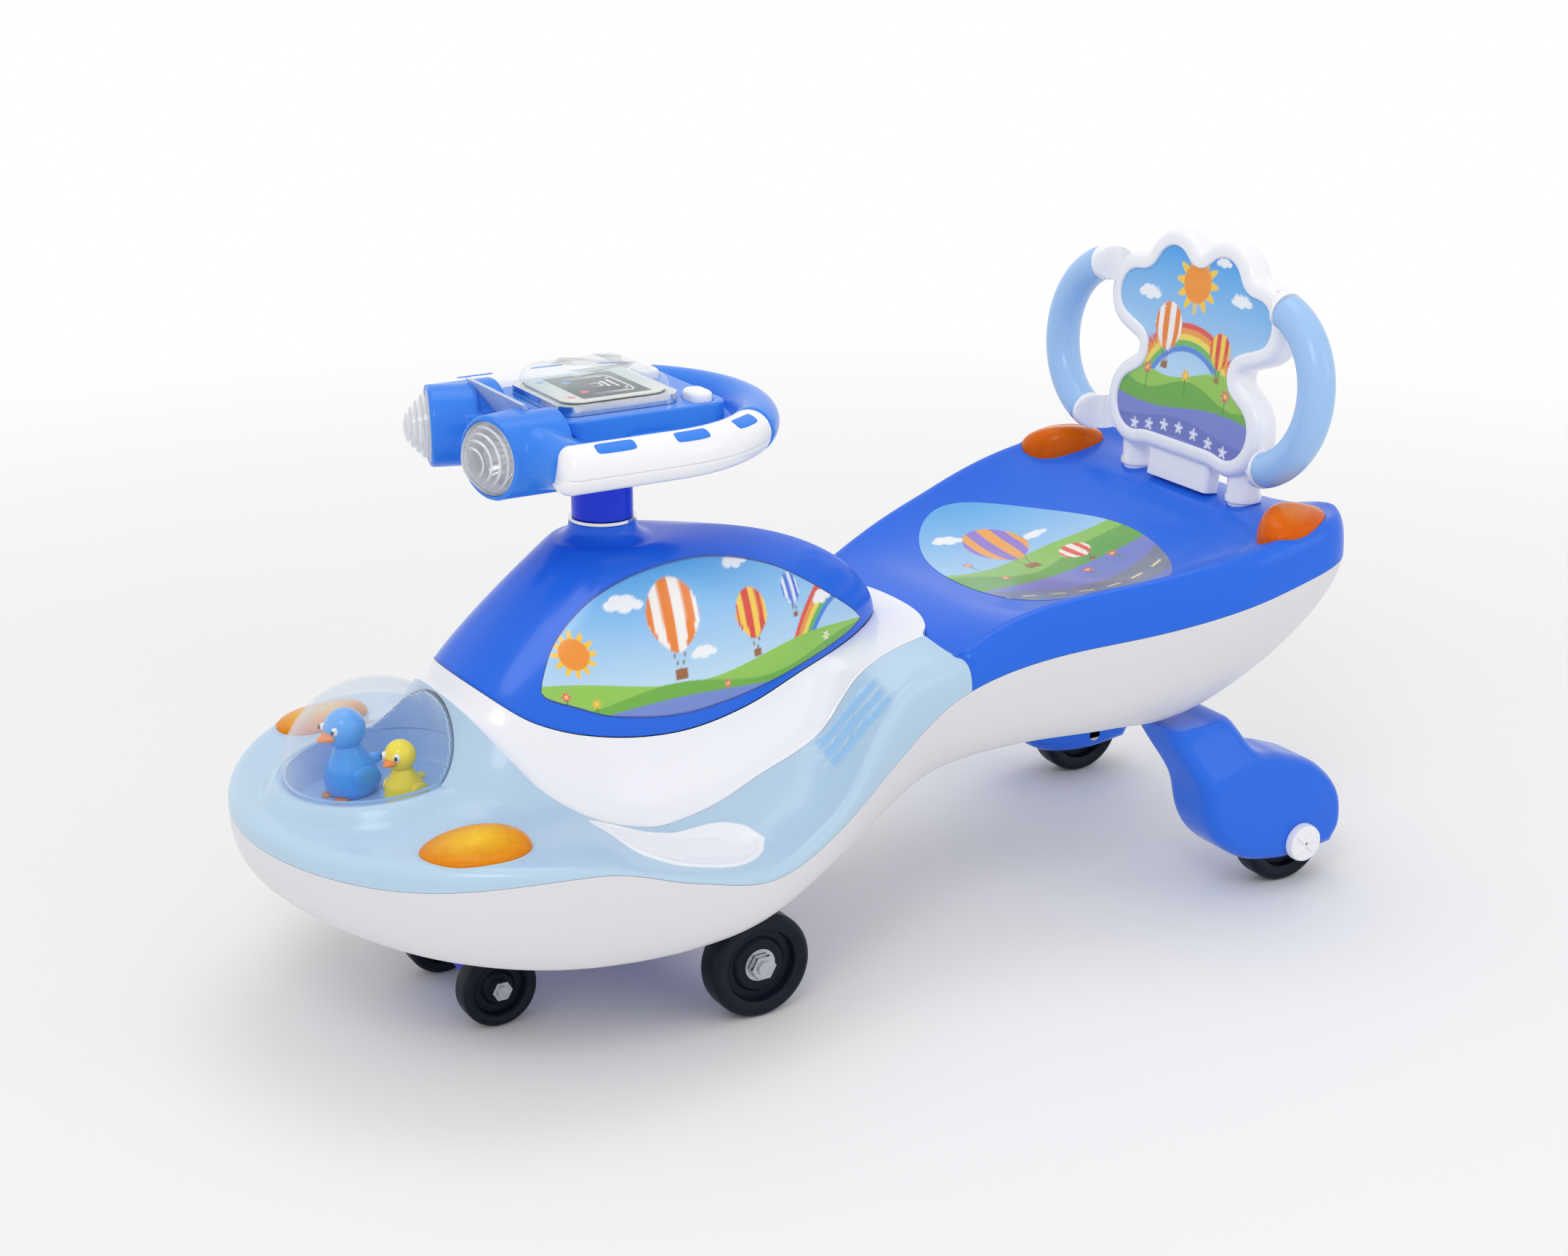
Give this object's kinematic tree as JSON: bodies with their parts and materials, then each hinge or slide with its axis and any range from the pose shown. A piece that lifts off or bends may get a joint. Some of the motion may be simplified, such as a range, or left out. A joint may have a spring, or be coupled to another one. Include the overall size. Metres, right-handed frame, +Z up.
{
  "type": "wiggle car",
  "caption": "Ride-on wiggle car: moulded tub with dished seat, backrest with hand loops, clear display dome, and a steering wheel whose column turns a caster yoke under the nose.",
  "frame": {"origin": "on the floor, under the middle of the overall box", "axes": "+X from nose to tail, +Y to the side away from the camera of the picture, +Z up"},
  "size_m": [0.7739, 0.36, 0.4525],
  "materials": {
    "white_plastic": "gloss moulding",
    "pale_blue_plastic": "gloss moulding",
    "blue_plastic": "gloss moulding",
    "deep_blue_plastic": "gloss moulding",
    "amber_lens": "moulded lens",
    "orange_lens": "moulded lens",
    "clear_plastic": "clear gloss",
    "wheel_black": "satin",
    "steel": "zinc plated",
    "chrome": "bright plated",
    "figure_blue": "satin",
    "figure_yellow": "satin",
    "board": "matte"
  },
  "bodies": {
    "chassis": {"lower_tub": "white_plastic", "front_deck": "pale_blue_plastic", "centre_cover": "white_plastic", "hood": "blue_plastic", "seat_cover": "blue_plastic", "foot_pad_left": "white_plastic", "foot_pad_right": "white_plastic", "front_lamp_left": "amber_lens", "front_lamp_right": "amber_lens", "rear_lamp_left": "orange_lens", "rear_lamp_right": "orange_lens", "display_dome": "clear_plastic", "display_tray": "pale_blue_plastic", "figure_tall": "figure_blue", "figure_small": "figure_yellow", "backrest_panel": "white_plastic", "backrest_grip_left": "pale_blue_plastic", "backrest_grip_right": "pale_blue_plastic", "rear_leg_left": "blue_plastic", "rear_leg_right": "blue_plastic", "rear_axle_left": "steel", "rear_axle_right": "steel", "hub_cap_left": "white_plastic", "hub_cap_right": "white_plastic", "upper_bush": "white_plastic", "lower_bush": "white_plastic", "collar_ring": "steel"},
    "steering": {"steering_shaft": "steel", "steering_column": "deep_blue_plastic", "shaft_nut": "steel", "thrust_washer": "steel", "yoke": "deep_blue_plastic", "front_axle": "steel", "front_nuts": "steel", "guide_axle": "steel", "guide_nuts": "steel", "wheel_frame": "blue_plastic", "wheel_cover": "blue_plastic", "rim_grip_left": "white_plastic", "rim_grip_right": "white_plastic", "headlight_left": "clear_plastic", "headlight_right": "clear_plastic", "reflector_left": "chrome", "reflector_right": "chrome", "windscreen": "clear_plastic", "dash_frame": "chrome", "dash_cover": "clear_plastic", "sound_board": "board", "battery_box": "wheel_black"},
    "big_wheel_left": {"big_wheel_left": "wheel_black", "big_bearing_left": "steel"},
    "big_wheel_right": {"big_wheel_right": "wheel_black", "big_bearing_right": "steel"},
    "guide_wheel_left": {"guide_wheel_left": "wheel_black"},
    "guide_wheel_right": {"guide_wheel_right": "wheel_black"},
    "rear_wheel_left": {"rear_wheel_left": "wheel_black"},
    "rear_wheel_right": {"rear_wheel_right": "wheel_black"},
    "button_left": {"button_left": "white_plastic"},
    "button_right": {"button_right": "white_plastic"}
  },
  "joints": [
    {"name": "steering_turn", "type": "hinge", "parent": "chassis", "child": "steering", "pos_m": [-0.136, 0, 0.2], "axis": [0, 0, 1], "continuous": true},
    {"name": "big_wheel_left_spin", "type": "hinge", "parent": "steering", "child": "big_wheel_left", "pos_m": [-0.091, 0.117, 0.036], "axis": [0, 1, 0], "continuous": true},
    {"name": "guide_wheel_left_spin", "type": "hinge", "parent": "steering", "child": "guide_wheel_left", "pos_m": [-0.243, 0.045, 0.026], "axis": [0, 1, 0], "continuous": true},
    {"name": "rear_wheel_left_spin", "type": "hinge", "parent": "chassis", "child": "rear_wheel_left", "pos_m": [0.346, 0.124, 0.036], "axis": [0, 1, 0], "continuous": true},
    {"name": "button_left_press", "type": "slide", "parent": "steering", "child": "button_left", "axis": [0, 0, 1], "range_m": [-0.002, 0], "stiffness_N_per_m": 250},
    {"name": "big_wheel_right_spin", "type": "hinge", "parent": "steering", "child": "big_wheel_right", "pos_m": [-0.091, -0.117, 0.036], "axis": [0, 1, 0], "continuous": true},
    {"name": "guide_wheel_right_spin", "type": "hinge", "parent": "steering", "child": "guide_wheel_right", "pos_m": [-0.243, -0.045, 0.026], "axis": [0, 1, 0], "continuous": true},
    {"name": "rear_wheel_right_spin", "type": "hinge", "parent": "chassis", "child": "rear_wheel_right", "pos_m": [0.346, -0.124, 0.036], "axis": [0, 1, 0], "continuous": true},
    {"name": "button_right_press", "type": "slide", "parent": "steering", "child": "button_right", "axis": [0, 0, 1], "range_m": [-0.002, 0], "stiffness_N_per_m": 250}
  ]
}
